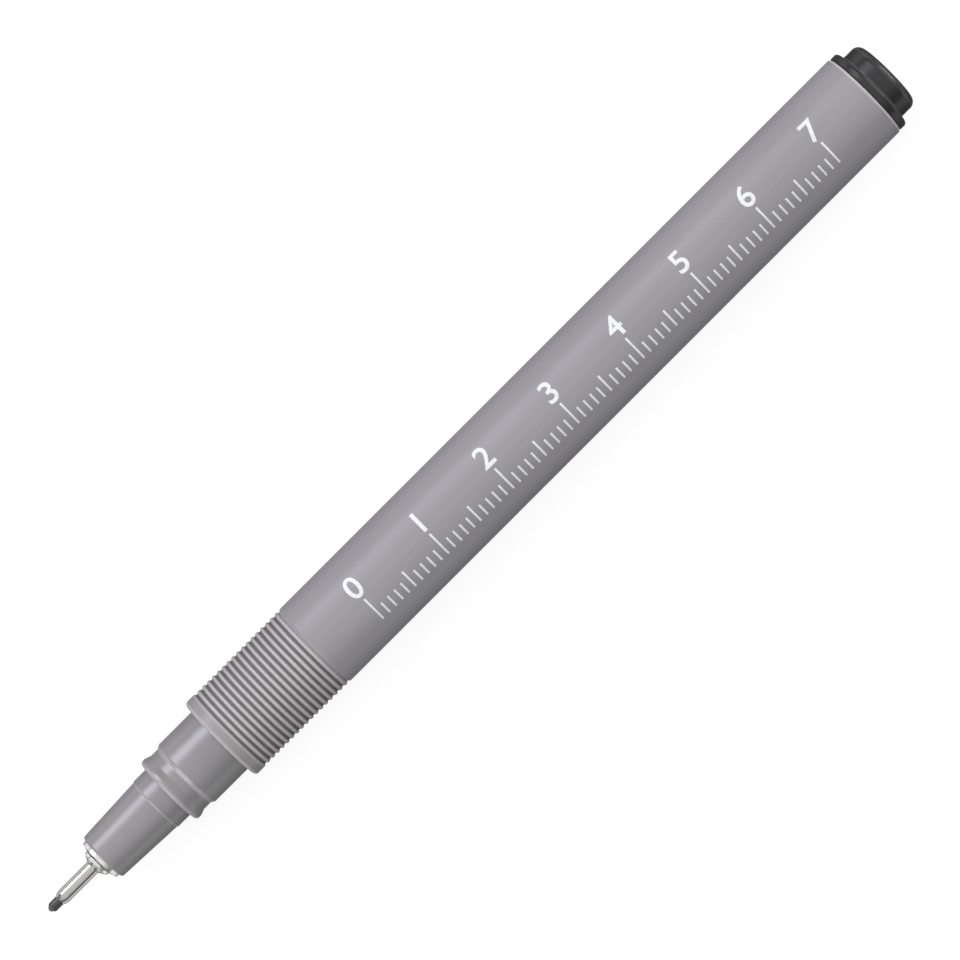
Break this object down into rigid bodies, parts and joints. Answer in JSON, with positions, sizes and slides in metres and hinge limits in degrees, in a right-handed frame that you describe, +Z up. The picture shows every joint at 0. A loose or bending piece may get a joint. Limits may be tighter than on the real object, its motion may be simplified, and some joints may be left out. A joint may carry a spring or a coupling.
{
  "type": "fineliner pen",
  "caption": "Slim round drawing pen without its cap: fine nib in a steel sleeve, stepped nose, ring-ribbed grip, plain barrel and end plug.",
  "frame": {"origin": "under the middle of the pen's length, on the surface that the barrel rests on", "axes": "+X along the pen from the nib to the end plug, +Z up; the pen's axis is 5.5 mm above the origin"},
  "size_m": [0.1294, 0.011, 0.011],
  "materials": {
    "barrel_grey": "satin moulded",
    "nose_grey": "semi-gloss moulded",
    "steel_bright": "bright turned steel",
    "nib_dark": "ink-stained plastic",
    "bush_white": "natural moulded",
    "wick_fibre": "ink-soaked fibre",
    "reservoir_fibre": "ink-soaked fibre",
    "wrap_film": "clear film",
    "plug_black": "semi-gloss moulded",
    "print_white": "pad-printed ink"
  },
  "bodies": {
    "barrel_unit": {"barrel": "barrel_grey", "reservoir_core": "reservoir_fibre", "reservoir_wrap": "wrap_film"},
    "nose_unit": {"nose_holder": "nose_grey", "tip_cone": "steel_bright", "tip_sleeve": "steel_bright", "nib": "nib_dark", "nib_bush": "bush_white", "feed_wick": "wick_fibre"},
    "plug_unit": {"end_plug": "plug_black"}
  },
  "joints": [
    {"name": "nose_pull", "type": "slide", "parent": "barrel_unit", "child": "nose_unit", "axis": [-1, 0, 0], "range_m": [0, 0.024]},
    {"name": "plug_pull", "type": "slide", "parent": "barrel_unit", "child": "plug_unit", "axis": [1, 0, 0], "range_m": [0, 0.01]}
  ]
}
